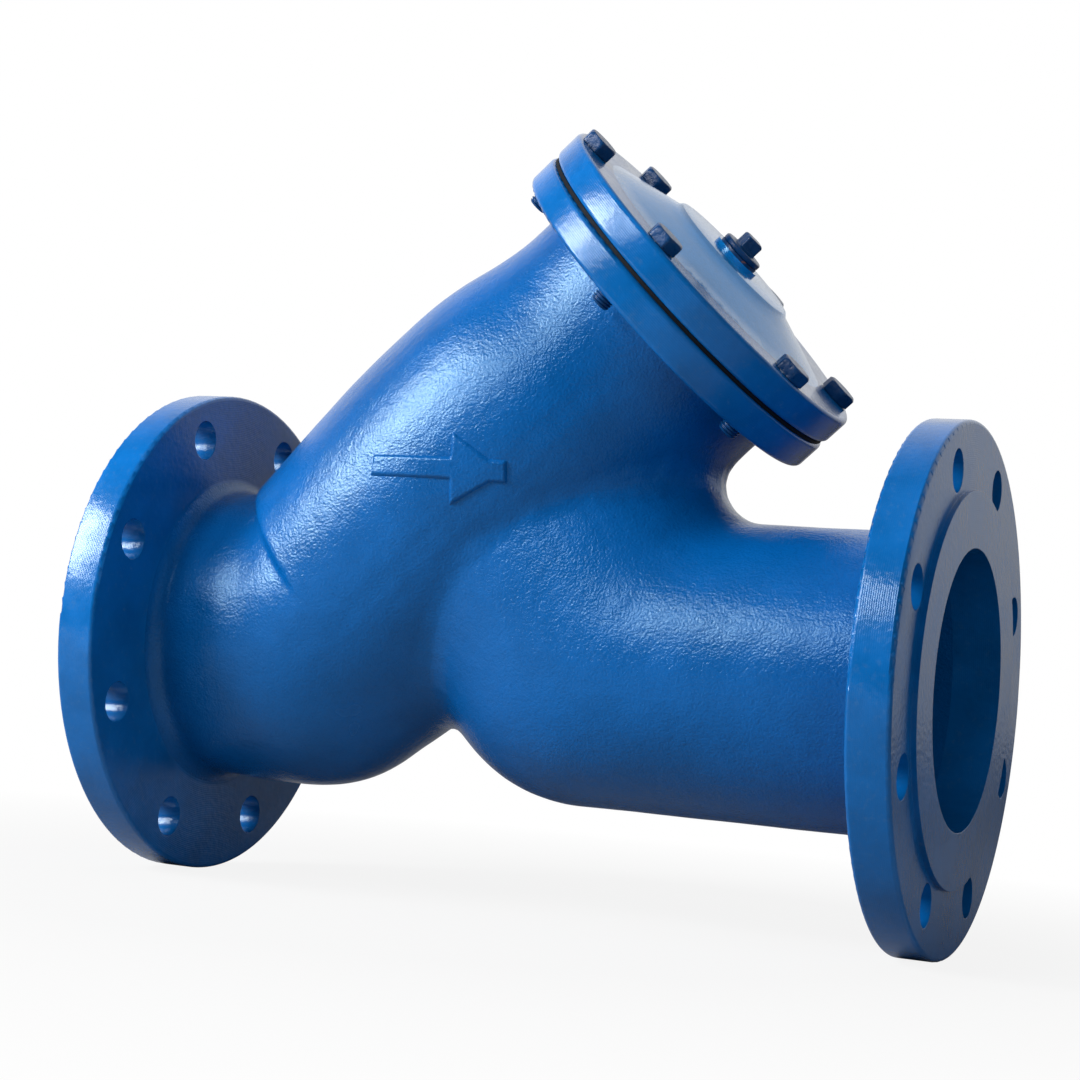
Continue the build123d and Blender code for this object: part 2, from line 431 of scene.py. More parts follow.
def grain(tree, place, size, detail=2.0, rough=0.5):
    """Noise with bumps of about the given size in metres."""
    inputs = {"Vector": place, "Scale": 1 / size, "Detail": detail, "Roughness": rough}
    return add_node(tree, "ShaderNodeTexNoise", inputs).outputs["Fac"]


def span(tree, value, low, high, to_low=0.0, to_high=1.0):
    """Value spread from one range to another, and kept within it."""
    inputs = {"Value": value, 1: low, 2: high, 3: to_low, 4: to_high}
    return add_node(tree, "ShaderNodeMapRange", inputs, clamp=True).outputs[0]


def sums(tree, operation, first, second=0.0):
    """One step of arithmetic."""
    return add_node(tree, "ShaderNodeMath", {0: first, 1: second}, operation=operation).outputs[0]


def blend_colours(tree, share, first, second):
    """Mix of two colours by a share from 0 to 1."""
    made = add_node(tree, "ShaderNodeMix", {0: share}, data_type="RGBA")
    for socket, colour in zip((made.inputs[6], made.inputs[7]), (first, second)):
        if isinstance(colour, bpy.types.NodeSocket):
            tree.links.new(colour, socket)
        else:
            socket.default_value = (*colour, 1)
    return made.outputs[2]


def raised(tree, height, depth, under=None):
    """Bump of a depth in metres over the bump under it."""
    inputs = {"Height": height, "Distance": depth, "Strength": 1.0}
    if under:
        inputs["Normal"] = under
    return add_node(tree, "ShaderNodeBump", inputs).outputs[0]


def axis_distances(tree, place, foot, along):
    """Distance along an axis and distance from it, as two outputs."""

    def vectors(operation, inputs, output=0):
        return add_node(tree, "ShaderNodeVectorMath", inputs, operation=operation).outputs[output]

    from_foot = vectors("SUBTRACT", {0: place, 1: foot})
    run = vectors("DOT_PRODUCT", {0: from_foot, 1: along}, 1)
    on_axis = vectors("SCALE", {0: along, "Scale": run})
    reach = vectors("LENGTH", {0: vectors("SUBTRACT", {0: from_foot, 1: on_axis})}, 1)
    return run, reach


def tinted(colour, gain):
    """Colour made lighter or darker."""
    return tuple(min(1, part * gain) for part in colour)


def cast_enamel(name, colour, depth_share=1.0, gloss=(0.2, 0.28), mirror=0.46):
    """Glossy enamel over a rough sand casting."""
    paint = bpy.context.scene.strainer_paint
    finish, tree, shader, place = new_finish(name, 0.3)
    shader.inputs["Specular IOR Level"].default_value = mirror
    shader.inputs["Specular Tint"].default_value = (*paint.mirror_tint, 1)
    peel = grain(tree, place, paint.peel_size, 1.5, 0.45)
    fine = grain(tree, place, paint.peel_size / 2.6, 1.0, 0.4)
    lumps = grain(tree, place, paint.peel_size * 5, 1.0, 0.5)
    clouds = grain(tree, place, 0.06, 3.0, 0.6)
    shade = blend_colours(tree, span(tree, clouds, 0.35, 0.65), tinted(colour, 0.9), tinted(colour, 1.1))
    # Painted shade: the low spots of the peel are darkened towards a darker copy of the enamel
    peel_pit_shade = span(tree, peel, 0.3, 0.5, 0.25, 0.0)
    tree.links.new(blend_colours(tree, peel_pit_shade, shade, tinted(colour, 0.55)), shader.inputs["Base Color"])
    tree.links.new(span(tree, clouds, 0.3, 0.7, *gloss), shader.inputs["Roughness"])
    depth = paint.peel_depth * depth_share
    bump = raised(tree, lumps, depth)
    bump = raised(tree, peel, depth, bump)
    bump = raised(tree, fine, depth * 0.3, bump)
    tree.links.new(bump, shader.inputs["Normal"])
    return finish


def turned_enamel(name, colour, foot, along):
    """Enamel over turned metal, with the tool's fine rings showing through it."""
    paint = bpy.context.scene.strainer_paint
    edge_break = bpy.context.scene.strainer_casting.edge_break
    finish, tree, shader, place = new_finish(name, 0.25)
    shader.inputs["Specular IOR Level"].default_value = 0.42
    shader.inputs["Specular Tint"].default_value = (0.75, 0.92, 1.0, 1)
    run, reach = axis_distances(tree, place, foot, along)
    phase = sums(tree, "MULTIPLY", sums(tree, "ADD", run, reach), 2 * pi / 0.0011)
    rings = sums(tree, "SINE", phase)
    clouds = grain(tree, place, 0.035, 4.0, 0.62)
    drips = grain(tree, place, paint.peel_size * 2.2, 1.0, 0.4)
    dust = grain(tree, place, 0.004, 5.0, 0.7)
    shade = blend_colours(tree, span(tree, clouds, 0.35, 0.65), tinted(colour, 0.88), tinted(colour, 1.14))
    shade = blend_colours(tree, span(tree, dust, 0.55, 0.8, 0.0, 0.25), shade, (0.09, 0.17, 0.26))
    tree.links.new(shade, shader.inputs["Base Color"])
    tree.links.new(span(tree, clouds, 0.3, 0.7, 0.14, 0.24), shader.inputs["Roughness"])
    eased = add_node(tree, "ShaderNodeBevel", {"Radius": edge_break}, samples=4).outputs[0]
    bump = raised(tree, rings, 0.000012, eased)
    bump = raised(tree, drips, 0.00012, bump)
    tree.links.new(bump, shader.inputs["Normal"])
    return finish


def fastener_enamel(name, colour):
    """Thick enamel brushed over screw heads, worn to bare steel here and there."""
    finish, tree, shader, place = new_finish(name, 0.32)
    shader.inputs["Specular IOR Level"].default_value = 0.3
    lumps = grain(tree, place, 0.003, 2.0, 0.5)
    chips = span(tree, grain(tree, place, 0.0045, 6.0, 0.72), 0.67, 0.72)
    shade = blend_colours(tree, lumps, tinted(colour, 0.75), tinted(colour, 1.2))
    tree.links.new(blend_colours(tree, chips, shade, (0.03, 0.035, 0.04)), shader.inputs["Base Color"])
    tree.links.new(span(tree, lumps, 0.3, 0.7, 0.25, 0.42), shader.inputs["Roughness"])
    tree.links.new(raised(tree, lumps, 0.0004), shader.inputs["Normal"])
    return finish


def bare_steel(name, colour, roughness):
    """Bright steel with fine scratches and faint stains."""
    finish, tree, shader, place = new_finish(name, roughness, 1.0)
    marks = grain(tree, place, 0.0008, 3.0, 0.6)
    stains = grain(tree, place, 0.03, 4.0, 0.6)
    shade = blend_colours(tree, span(tree, stains, 0.35, 0.7), colour, tinted(colour, 0.72))
    tree.links.new(shade, shader.inputs["Base Color"])
    worn = span(tree, marks, 0.2, 0.8, roughness * 0.75, roughness * 1.3)
    tree.links.new(worn, shader.inputs["Roughness"])
    tree.links.new(raised(tree, marks, 0.00003), shader.inputs["Normal"])
    return finish


def gasket_sheet(name):
    """Dull graphite sheet with pressed flakes."""
    finish, tree, shader, place = new_finish(name, 0.7)
    shader.inputs["Specular IOR Level"].default_value = 0.1
    flakes = grain(tree, place, 0.0018, 5.0, 0.75)
    shade = blend_colours(tree, flakes, (0.002, 0.003, 0.005), (0.008, 0.01, 0.014))
    tree.links.new(shade, shader.inputs["Base Color"])
    tree.links.new(span(tree, flakes, 0.3, 0.7, 0.5, 0.85), shader.inputs["Roughness"])
    tree.links.new(raised(tree, flakes, 0.0002), shader.inputs["Normal"])
    return finish


def washer_copper(name, paint_colour):
    """Soft copper with enamel brushed over most of it."""
    finish, tree, shader, place = new_finish(name, 0.4)
    cover = span(tree, grain(tree, place, 0.005, 3.0, 0.6), 0.36, 0.42)
    tree.links.new(blend_colours(tree, cover, (0.6, 0.22, 0.1), paint_colour), shader.inputs["Base Color"])
    tree.links.new(sums(tree, "SUBTRACT", 1.0, cover), shader.inputs["Metallic"])
    tree.links.new(raised(tree, grain(tree, place, 0.002), 0.0001), shader.inputs["Normal"])
    return finish


# Meshes


def weld(mesh):
    """The mesh as a bmesh with its doubled corners joined."""
    shape = bmesh.new()
    shape.from_mesh(mesh)
    bmesh.ops.remove_doubles(shape, verts=shape.verts, dist=1e-6)
    return shape


def finished_mesh(name, shape, sharp_angle=SHARP_ANGLE):
    """Mesh from a bmesh, smooth except where it turns sharply."""
    mesh = bpy.data.meshes.new(name)
    shape.to_mesh(mesh)
    shape.free()
    stored = mesh.attributes.get("custom_normal")
    if stored:
        mesh.attributes.remove(stored)
    mesh.shade_smooth()
    mesh.set_sharp_from_angle(angle=sharp_angle)
    return mesh


def add_piece(name, mesh, body, slot, finishes, *nodes, flat_faces=False):
    """Links a mesh as a piece that rides on a body and stands for CAD nodes."""
    piece = bpy.data.objects.new(name, mesh)
    bpy.context.scene.collection.objects.link(piece)
    if flat_faces:
        even = piece.modifiers.new("flat_faces", "WEIGHTED_NORMAL")
        even.mode = "FACE_AREA"
        even.keep_sharp = True
    for finish in finishes:
        mesh.materials.append(finish)
    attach(piece, body)
    if nodes:
        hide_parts(*nodes)
    return piece


def dress_node(node, finish):
    """Gives a CAD node its finish."""
    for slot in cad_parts[node].material_slots:
        slot.material = finish


def ring_stack(rings, steps, place):
    """Closed shape from rings, each a function that gives radius and height at an angle."""
    shape = bmesh.new()
    turns = [2 * pi * step / steps for step in range(steps)]
    rows = []
    for ring in rings:
        row = []
        for turn in turns:
            reach, height = ring(turn)
            row.append(shape.verts.new(place @ Vector((reach * cos(turn), reach * sin(turn), height))))
        rows.append(row)
    for low, high in zip(rows, rows[1:]):
        for step in range(steps):
            after = (step + 1) % steps
            shape.faces.new((low[step], low[after], high[after], high[step]))
    shape.faces.new(rows[0])
    shape.faces.new(rows[-1])
    bmesh.ops.recalc_face_normals(shape, faces=shape.faces)
    return shape


def plain_ring(reach, height):
    """Ring of one radius at one height."""
    return lambda turn: (reach, height)


def flats_radius(turn, flats, sides, limit):
    """Radius at an angle of a shape with flats, no further out than a limit."""
    step = 2 * pi / sides
    return min(flats / 2 / cos((turn % step) - step / 2), limit)


def thread_rings(low, high, outside_d, pitch, lead):
    """Rings of a screw thread from one height to another, tapered over a lead at its start."""
    depth = 0.6 * pitch
    rings_per_turn = 8
    rings = []
    count = max(2, round((high - low) / pitch * rings_per_turn))
    for index in range(count + 1):
        height = low + (high - low) * index / count

        def ring(turn, height=height):
            """Radius on a thread with flat crests, and the ring's height."""
            phase = ((height / pitch) - turn / (2 * pi)) % 1
            crest = max(0.0, min(1.0, 1.35 - abs(phase - 0.5) * 3.4))
            taper = min(1.0, (height - low) / lead)
            reach = outside_d / 2 - depth * (1 - crest)
            return min(reach, outside_d / 2 - depth * (1.15 - taper)), height

        rings.append(ring)
    return rings


def run_of(place):
    """Distance of a point along the branch."""
    return (place - BRANCH_FOOT).dot(ALONG)


def reach_of(place):
    """Distance of a point from the branch's axis."""
    from_foot = place - BRANCH_FOOT
    return (from_foot - ALONG * from_foot.dot(ALONG)).length


def cut_at_flanges(shape, overlap):
    """Cuts edges into the shape where the skin meets the three flange discs, and returns them."""
    cuts = []
    planes = [
        (Vector((INLET_CUT + overlap, 0, 0)), Vector((1, 0, 0)), lambda face: True),
        (Vector((OUTLET_CUT - overlap, 0, 0)), Vector((1, 0, 0)), lambda face: True),
        (
            BRANCH_FOOT + ALONG * (BRANCH_CUT - overlap),
            ALONG,
            lambda face: reach_of(face.calc_center_median()) < BRANCH_CUT_REACH,
        ),
    ]
    for point, normal, wanted in planes:
        faces = [face for face in shape.faces if wanted(face)]
        geometry = list({vert for face in faces for vert in face.verts})
        geometry += list({edge for face in faces for edge in face.edges}) + faces
        made = bmesh.ops.bisect_plane(shape, geom=geometry, dist=1e-7, plane_co=point, plane_no=normal)
        cuts += [part for part in made["geom_cut"] if isinstance(part, bmesh.types.BMEdge)]
    return set(cuts)


def between_flanges(place, overlap):
    """Whether a point lies between the three cuts."""
    if not INLET_CUT + overlap < place.x < OUTLET_CUT - overlap:
        return False
    return run_of(place) < BRANCH_CUT - overlap or reach_of(place) > BRANCH_CUT_REACH


def outer_faces(shape, cuts):
    """Faces of the outside between the flange discs, found from the widest one without crossing a cut."""
    shape.faces.ensure_lookup_table()
    middles = [face.calc_center_median() for face in shape.faces]
    barrel = [
        (abs(middle.y), index)
        for index, middle in enumerate(middles)
        if BARREL_LOW < run_of(middle) < BARREL_HIGH and reach_of(middle) < BRANCH_CUT_REACH
    ]
    start = shape.faces[max(barrel)[1]]
    found, waiting = {start}, [start]
    while waiting:
        face = waiting.pop()
        for edge in face.edges:
            if edge in cuts:
                continue
            for other in edge.link_faces:
                if other not in found:
                    found.add(other)
                    waiting.append(other)
    return found


def evaluated(name, shape, *modifiers):
    """Mesh that modifiers make of a bmesh."""
    mesh = bpy.data.meshes.new(name)
    shape.to_mesh(mesh)
    shape.free()
    holder = bpy.data.objects.new(name, mesh)
    bpy.context.scene.collection.objects.link(holder)
    for kind, settings in modifiers:
        modifier = holder.modifiers.new(kind, kind)
        for key, value in settings.items():
            setattr(modifier, key, value)
    result = bpy.data.meshes.new_from_object(holder.evaluated_get(bpy.context.evaluated_depsgraph_get()))
    bpy.data.objects.remove(holder)
    bpy.data.meshes.remove(mesh)
    return result


def neighbour_means(places, ends, links):
    """Mean of each point's neighbours along the edges."""
    total = np.zeros_like(places)
    np.add.at(total, ends[:, 0], places[ends[:, 1]])
    np.add.at(total, ends[:, 1], places[ends[:, 0]])
    return total / links


def swell_neck(places):
    """Moves the points of the neck out to a profile that swells into the bulb."""
    share = np.clip((NECK_END - places[:, 0]) / (NECK_END - NECK_START), 0.0, 1.0)
    profile = BULB_R - (BULB_R - NECK_R) * share**2
    reach = np.hypot(places[:, 1], places[:, 2])
    swelled = (reach > NECK_R - 0.003) & (reach < profile) & (places[:, 0] > NECK_START) & (share > 0)
    places[swelled, 1:] *= (profile / reach)[swelled, None]


def ease_bulb(places, ends, links, held):
    """Smooths the bulb, and fades the smoothing out up the branch, at the neck and at the chamber."""
    run = (places - np.array(BRANCH_FOOT)) @ np.array(ALONG)
    ease = np.clip((BULB_EASE_TOP - run) / 0.008, 0, 1)
    ease = ease * np.clip((places[:, 0] - NECK_START) / 0.006, 0, 1)
    ease *= np.clip((BULB_EASE_END - places[:, 0]) / 0.02, 0, 1) * ~held / 2
    for _ in range(bpy.context.scene.strainer_casting.bulb_passes):
        places += ease[:, None] * (neighbour_means(places, ends, links) - places)


def cast_skin():
    """Outside of the casting between its flange discs, with eased corners and a faint waviness."""
    casting = bpy.context.scene.strainer_casting
    solid = weld(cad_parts["body_casting"].data)
    gridded = evaluated("skin_grid", solid, ("REMESH", {"mode": "VOXEL", "voxel_size": casting.grid}))
    skin = bmesh.new()
    skin.from_mesh(gridded)
    bpy.data.meshes.remove(gridded)
    cuts = cut_at_flanges(skin, 0.0)
    skin.faces.index_update()
    keep = outer_faces(skin, cuts)
    bmesh.ops.delete(skin, geom=[face for face in skin.faces if face not in keep], context="FACES")
    skin.verts.index_update()
    places = np.array([vert.co for vert in skin.verts])
    ends = np.array([[vert.index for vert in edge.verts] for edge in skin.edges])
    held = np.zeros(len(places), bool)
    for edge in skin.edges:
        if edge.is_boundary:
            held[[vert.index for vert in edge.verts]] = True
    links = np.bincount(ends.ravel(), minlength=len(places))[:, None]
    for _ in range(casting.rounding_passes):
        eased = (places + neighbour_means(places, ends, links)) / 2
        places = np.where(held[:, None], places, eased)
    swell_neck(places)
    ease_bulb(places, ends, links, held)
    for vert, place in zip(skin.verts, places):
        vert.co = place
    skin.normal_update()
    for vert in skin.verts:
        gaps = (vert.co.x - INLET_CUT, OUTLET_CUT - vert.co.x)
        near = min(gaps)
        if reach_of(vert.co) < BRANCH_CUT_REACH:
            near = min(near, BRANCH_CUT - run_of(vert.co))
        fade = max(0.0, min(1.0, near / MOULD_FADE))
        wave = noise.noise(vert.co / casting.wave_length)
        wave += 0.4 * noise.noise(vert.co * 3 / casting.wave_length)
        vert.co += vert.normal * (casting.wave_height * fade * (wave - 0.5))
    return skin


def body_rest():
    """The casting's discs and inside, exact as packed."""
    shape = weld(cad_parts["body_casting"].data)
    cuts = cut_at_flanges(shape, CUT_OVERLAP)
    shape.faces.index_update()
    gone = outer_faces(shape, cuts)
    bmesh.ops.delete(shape, geom=list(gone), context="FACES")
    return shape


class STRAINER_OT_casting(bpy.types.Operator):
    """Makes the cast body with its machined flange discs"""

    bl_idname = "strainer.casting"
    bl_label = "Cast body"

    def execute(self, context):
        paint = context.scene.strainer_paint
        cast = cast_enamel("cast_enamel", paint.cast_colour)
        pipe_paint = turned_enamel("pipe_flange_enamel", paint.machined_colour, (0, 0, 0), (1, 0, 0))
        branch_paint = turned_enamel("branch_flange_enamel", paint.machined_colour, BRANCH_FOOT, ALONG)
        skin = finished_mesh("casting_skin", cast_skin())
        add_piece("casting_skin", skin, "casing", "casting_paint", [cast], "body_casting")

        rest = body_rest()
        for face in rest.faces:
            middle = face.calc_center_median()
            if between_flanges(middle, CUT_OVERLAP):
                face.material_index = 0
            elif middle.x < INLET_CUT + CUT_OVERLAP or middle.x > OUTLET_CUT - CUT_OVERLAP:
                face.material_index = 1
            else:
                face.material_index = 2
        mesh = finished_mesh("casting_flanges", rest)
        finishes = [cast, pipe_paint, branch_paint]
        node = "body_casting"
        add_piece("casting_flanges", mesh, "casing", "casting_paint", finishes, node, flat_faces=True)
        return {"FINISHED"}


class STRAINER_OT_cover(bpy.types.Operator):
    """Makes the cover with its raised middle and its gasket"""

    bl_idname = "strainer.cover"
    bl_label = "Cover and gasket"

    def execute(self, context):
        paint = context.scene.strainer_paint
        # The cover's raised middle takes the paler copy of the enamel, a painted reflection of the backdrop
        # over its real gloss
        cast = cast_enamel("cover_enamel", paint.cover_painted_reflection_colour, depth_share=0.3, gloss=(0.1, 0.15), mirror=0.8)
        rim = turned_enamel("cover_rim_enamel", paint.machined_colour, BRANCH_FOOT, ALONG)
        shape = weld(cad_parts["cover"].data)
        for face in shape.faces:
            middle = face.calc_center_median()
            on_top = run_of(middle) > COVER_FACE + SLACK
            face.material_index = 0 if on_top and reach_of(middle) < COVER_LAND_R else 1
        mesh = finished_mesh("cover_plate", shape)
        add_piece("cover_plate", mesh, "cover", "cover_paint", [cast, rim], "cover", flat_faces=True)
        dress_node("cover_gasket", gasket_sheet("gasket_graphite"))
        return {"FINISHED"}


class STRAINER_OT_arrow(bpy.types.Operator):
    """Raises a plain flow arrow on the near side of the branch"""

    bl_idname = "strainer.arrow"
    bl_label = "Flow arrow"

    def execute(self, context):
        arrow = context.scene.strainer_arrow
        skin = bpy.data.objects["casting_skin"]
        tree = BVHTree.FromPolygons(
            [vert.co for vert in skin.data.vertices], [face.vertices for face in skin.data.polygons]
        )
        middle = BRANCH_FOOT + ALONG * arrow.along + ACROSS * arrow.across
        half, shaft, head, wing = arrow.length / 2, 0.0055, 0.03, 0.019
        step, edge_width, root_depth = 0.0008, 0.0022, 0.0005
        count_x, count_z = int((half + 0.004) / step), int((wing + 0.004) / step)
        shape = bmesh.new()
        rows = []
        for index_z in range(-count_z, count_z + 1):
            row = []
            for index_x in range(-count_x, count_x + 1):
                x, z = index_x * step, abs(index_z * step)
                to_tail, to_shaft, to_root = x + half, shaft - z, x - (half - head)
                slope = head / wing
                to_tip = (half - x - z * slope) / sqrt(1 + slope * slope)
                inside = max(min(to_tail, to_shaft, half - x), min(to_root, to_tip))
                rise = max(0.0, min(1.0, inside / edge_width + 0.5))
                rise = rise * rise * (3 - 2 * rise)
                start = middle + Vector((x, -0.2, index_z * step))
                hit, normal, _, _ = tree.ray_cast(start, Vector((0, 1, 0)))
                if hit is None:
                    raise RuntimeError("the flow arrow runs off the branch")
                lift = rise * (arrow.relief + root_depth) - root_depth
                row.append(shape.verts.new(hit + normal * lift))
            rows.append(row)
        for low, high in zip(rows, rows[1:]):
            for index in range(len(low) - 1):
                shape.faces.new((low[index], low[index + 1], high[index + 1], high[index]))
        mesh = finished_mesh("flow_arrow", shape, radians(80))
        add_piece("flow_arrow", mesh, "casing", "casting_paint", [bpy.data.materials["cast_enamel"]])
        return {"FINISHED"}


def nearest_node(prefix, place):
    """CAD node of a kind whose middle is nearest to a place round the branch."""
    names = [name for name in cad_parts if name.startswith(prefix)]

    def gap(name):
        """Distance of a node's middle from the line along the branch through the place."""
        low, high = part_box(name)
        off = (low + high) / 2 - place
        return (off - ALONG * off.dot(ALONG)).length

    return min(names, key=gap)


class STRAINER_OT_screws(bpy.types.Operator):
    """Makes the cover screws with chamfered hexagon heads and threads"""

    bl_idname = "strainer.screws"
    bl_label = "Cover screws"

    def execute(self, context):
        screw = context.scene.strainer_screws
        paint = context.scene.strainer_paint
        # The screw heads take the darker copy of the blue enamel, painted shade
        finishes = [
            fastener_enamel("screw_enamel", paint.fastener_painted_shade_colour),
            bare_steel("screw_steel", (0.34, 0.34, 0.33), 0.38),
        ]
        steps = 72
        corner = screw.head_flats / sqrt(3)
        bearing = screw.head_flats * 0.475
        height = screw.head_height

        def head_ring(limit, level, drop):
            """Ring of the hexagon, whose corners fall off outside the bearing face by a drop."""

            def ring(turn):
                reach = flats_radius(turn, screw.head_flats, 6, limit)
                return reach, level - drop * max(0.0, reach - bearing) * tan(radians(30))

            return ring

        for number in range(SCREWS):
            turn = screw.first_turn + number * 2 * pi / SCREWS
            off = screw.circle_d / 2
            seat = Matrix.Translation((off * cos(turn), off * sin(turn), COVER_FACE))
            place = BRANCH_PLACE @ seat
            rings = thread_rings(-screw.length, -0.0006, screw.thread_d, screw.thread_pitch, 0.0012)
            rings += [
                plain_ring(screw.thread_d / 2, SEAT_GAP),
                plain_ring(bearing, SEAT_GAP),
                plain_ring(bearing, 0.0004),
                head_ring(corner * 0.985, 0.0004, 0.0),
                head_ring(corner * 0.985, 0.0008, 0.0),
                head_ring(corner * 0.99, height * 0.6, 0.0),
                head_ring(corner * 0.985, height - 0.0002, 1.0),
                head_ring(bearing, height, 0.0),
                plain_ring(bearing * 0.94, height),
            ]
            shape = ring_stack(rings, steps, place)
            for face in shape.faces:
                bare = BRANCH_CUT < run_of(face.calc_center_median()) < COVER_FACE - SLACK
                face.material_index = 1 if bare else 0
            mesh = finished_mesh(f"cover_screw_{number + 1}", shape)
            node = nearest_node("cover_bolt_", place.translation)
            name, body = node.replace("bolt", "screw"), node.replace("cover_", "")
            add_piece(name, mesh, body, "fastener_paint", finishes, node, flat_faces=True)
        return {"FINISHED"}


class STRAINER_OT_plug(bpy.types.Operator):
    """Makes the drain plug with its square head, collar and thread"""

    bl_idname = "strainer.plug"
    bl_label = "Drain plug"

    def execute(self, context):
        plug = context.scene.strainer_plug
        paint = context.scene.strainer_paint
        collar_low, collar_high, top = PLUG_SEAT, 0.338, 0.346
        thread_low, thread_high = collar_low - 0.013, collar_low - 0.001
        edge = 0.0007
        half_diagonal = plug.square / sqrt(2) * 0.94

        def square_ring(shrink, level):
            """Ring of the square, narrower by a shrink."""
            flats, limit = plug.square - shrink, half_diagonal - shrink
            return lambda turn: (flats_radius(turn, flats, 4, limit), level)

        rings = thread_rings(thread_low, thread_high, plug.thread_d, plug.thread_pitch, 0.0015)
        rings += [
            plain_ring(plug.thread_d / 2 - 0.0008, collar_low + SEAT_GAP),
            plain_ring(plug.collar_d / 2 - edge, collar_low + SEAT_GAP),
            plain_ring(plug.collar_d / 2, collar_low + edge),
            plain_ring(plug.collar_d / 2, collar_high - edge),
            plain_ring(plug.collar_d / 2 - edge, collar_high),
            square_ring(-0.0016, collar_high),
            square_ring(-0.0004, collar_high + 0.0005),
            square_ring(0.0, collar_high + 0.0014),
            square_ring(0.0, top - 0.0012),
            square_ring(0.0006, top - 0.0004),
            square_ring(0.0018, top),
        ]
        shape = ring_stack(rings, 96, BRANCH_PLACE)
        for face in shape.faces:
            face.material_index = 1 if run_of(face.calc_center_median()) < collar_low - SLACK else 0
        # The plug and the paint over its washer take the darker copy of the blue enamel, painted shade
        finishes = [
            fastener_enamel("plug_enamel", paint.fastener_painted_shade_colour),
            bare_steel("plug_steel", (0.36, 0.35, 0.33), 0.4),
        ]
        mesh = finished_mesh("plug_with_square", shape)
        node = "drain_plug"
        add_piece("plug_with_square", mesh, "plug", "fastener_paint", finishes, node, flat_faces=True)
        dress_node("plug_washer", washer_copper("washer_copper", paint.fastener_painted_shade_colour))
        return {"FINISHED"}


class STRAINER_OT_screen(bpy.types.Operator):
    """Makes the finely perforated screen and finishes its rings and seam"""

    bl_idname = "strainer.screen"
    bl_label = "Screen"

    def execute(self, context):
        screen = context.scene.strainer_screen
        radius, sheet, low, high, band = 0.07, 0.0015, 0.018, 0.2982, 0.012
        pitch = 2 * pi * radius / screen.holes_round
        rows = int((high - low - 2 * band) / (pitch * sqrt(3) / 2))
        row_height = (high - low - 2 * band) / rows
        quarter = 2 * pi / screen.holes_round / 4
        border = [(-2, j) for j in range(-2, 3)] + [(i, 2) for i in range(-1, 3)]
        border += [(2, j) for j in range(1, -3, -1)] + [(i, -2) for i in range(1, -2, -1)]
        shape = bmesh.new()
        known = {}

        def on_sheet(turn, height):
            """Place on the sheet at an angle and a height."""
            return BRANCH_PLACE @ Vector((radius * cos(turn), radius * sin(turn), height))

        def corner(column, level):
            """Corner of the sheet at a quarter column round it and a level up it."""
            key = (column % (4 * screen.holes_round), level)
            if key not in known:
                height = low + band + level * row_height / 4
                if not 0 <= level <= 4 * rows:
                    height = low if level < 0 else high
                known[key] = shape.verts.new(on_sheet(key[0] * quarter, height))
            return known[key]

        seam_clear = 0.007 + screen.hole_d
        for row in range(rows):
            for column in range(screen.holes_round):
                centre = 4 * column + 2 * (row % 2) + 1
                level = 4 * row + 2
                outline = [corner(centre + i, level + j) for i, j in border]
                turn = (centre * quarter + pi) % (2 * pi) - pi
                if abs(turn) * radius < seam_clear:
                    shape.faces.new(outline)
                    continue
                hole = []
                for i, j in border:
                    off = Vector((i * quarter * radius, j * row_height / 4)).normalized() * screen.hole_d / 2
                    spot = centre * quarter + off.x / radius
                    height = low + band + level * row_height / 4 + off.y
                    hole.append(shape.verts.new(on_sheet(spot, height)))
                for index in range(len(border)):
                    after = (index + 1) % len(border)
                    shape.faces.new((outline[index], outline[after], hole[after], hole[index]))
        for column in range(4 * screen.holes_round):
            for foot in (-1, 4 * rows):
                square = ((0, foot), (1, foot), (1, foot + 1), (0, foot + 1))
                shape.faces.new([corner(column + i, j) for i, j in square])
        bmesh.ops.recalc_face_normals(shape, faces=shape.faces)
        outward = next(face for face in shape.faces if len(face.verts) == 4)
        flipped = outward.normal.dot(outward.calc_center_median() - BRANCH_FOOT - ALONG * low) < 0
        thick = {"thickness": sheet, "offset": 1.0 if flipped else -1.0, "use_even_offset": True}
        mesh = evaluated("screen_perforated", shape, ("SOLIDIFY", thick))
        mesh.shade_smooth()
        mesh.set_sharp_from_angle(angle=SHARP_ANGLE)
        rolled = bare_steel("screen_steel", (0.58, 0.58, 0.56), 0.32)
        bright = bare_steel("ring_steel", (0.62, 0.62, 0.61), 0.26)
        add_piece("screen_perforated", mesh, "screen", "stainless_perforated", [rolled], "screen_sheet")
        for node in ("screen_seat_ring", "screen_top_ring", "screen_seam_strip"):
            dress_node(node, bright)
        return {"FINISHED"}


def make_floor(stage):
    """Paper floor that the camera sees fade into the white backdrop."""
    mesh = bpy.data.meshes.new("floor")
    level = cad_low.z
    corners = [(x * FLOOR_REACH, y * FLOOR_REACH, level) for x, y in ((-1, -1), (1, -1), (1, 1), (-1, 1))]
    mesh.from_pydata(corners, [], [(0, 1, 2, 3)])
    floor = bpy.data.objects.new("floor", mesh)
    bpy.context.scene.collection.objects.link(floor)
    finish, tree, shader, place = new_finish("floor_paper", 0.9)
    speckle = grain(tree, place, 0.01, 3.0)
    pale = blend_colours(tree, speckle, tinted(stage.floor_colour, 0.99), stage.floor_colour)
    tree.links.new(pale, shader.inputs["Base Color"])
    seen = add_node(tree, "ShaderNodeLightPath")
    glow = add_node(tree, "ShaderNodeEmission", {"Color": (1, 1, 1, 1), "Strength": 1.0})
    far = add_node(tree, "ShaderNodeVectorMath", {0: place, 1: (0.2, 0, level)}, operation="DISTANCE")
    fade = span(tree, far.outputs[1], 0.3, 0.8, 0.88, 1.0)
    share = sums(tree, "MULTIPLY", seen.outputs["Is Camera Ray"], fade)
    both = add_node(tree, "ShaderNodeMixShader", {0: share, 1: shader.outputs[0], 2: glow.outputs[0]})
    tree.links.new(both.outputs[0], tree.nodes["Material Output"].inputs[0])
    mesh.materials.append(finish)


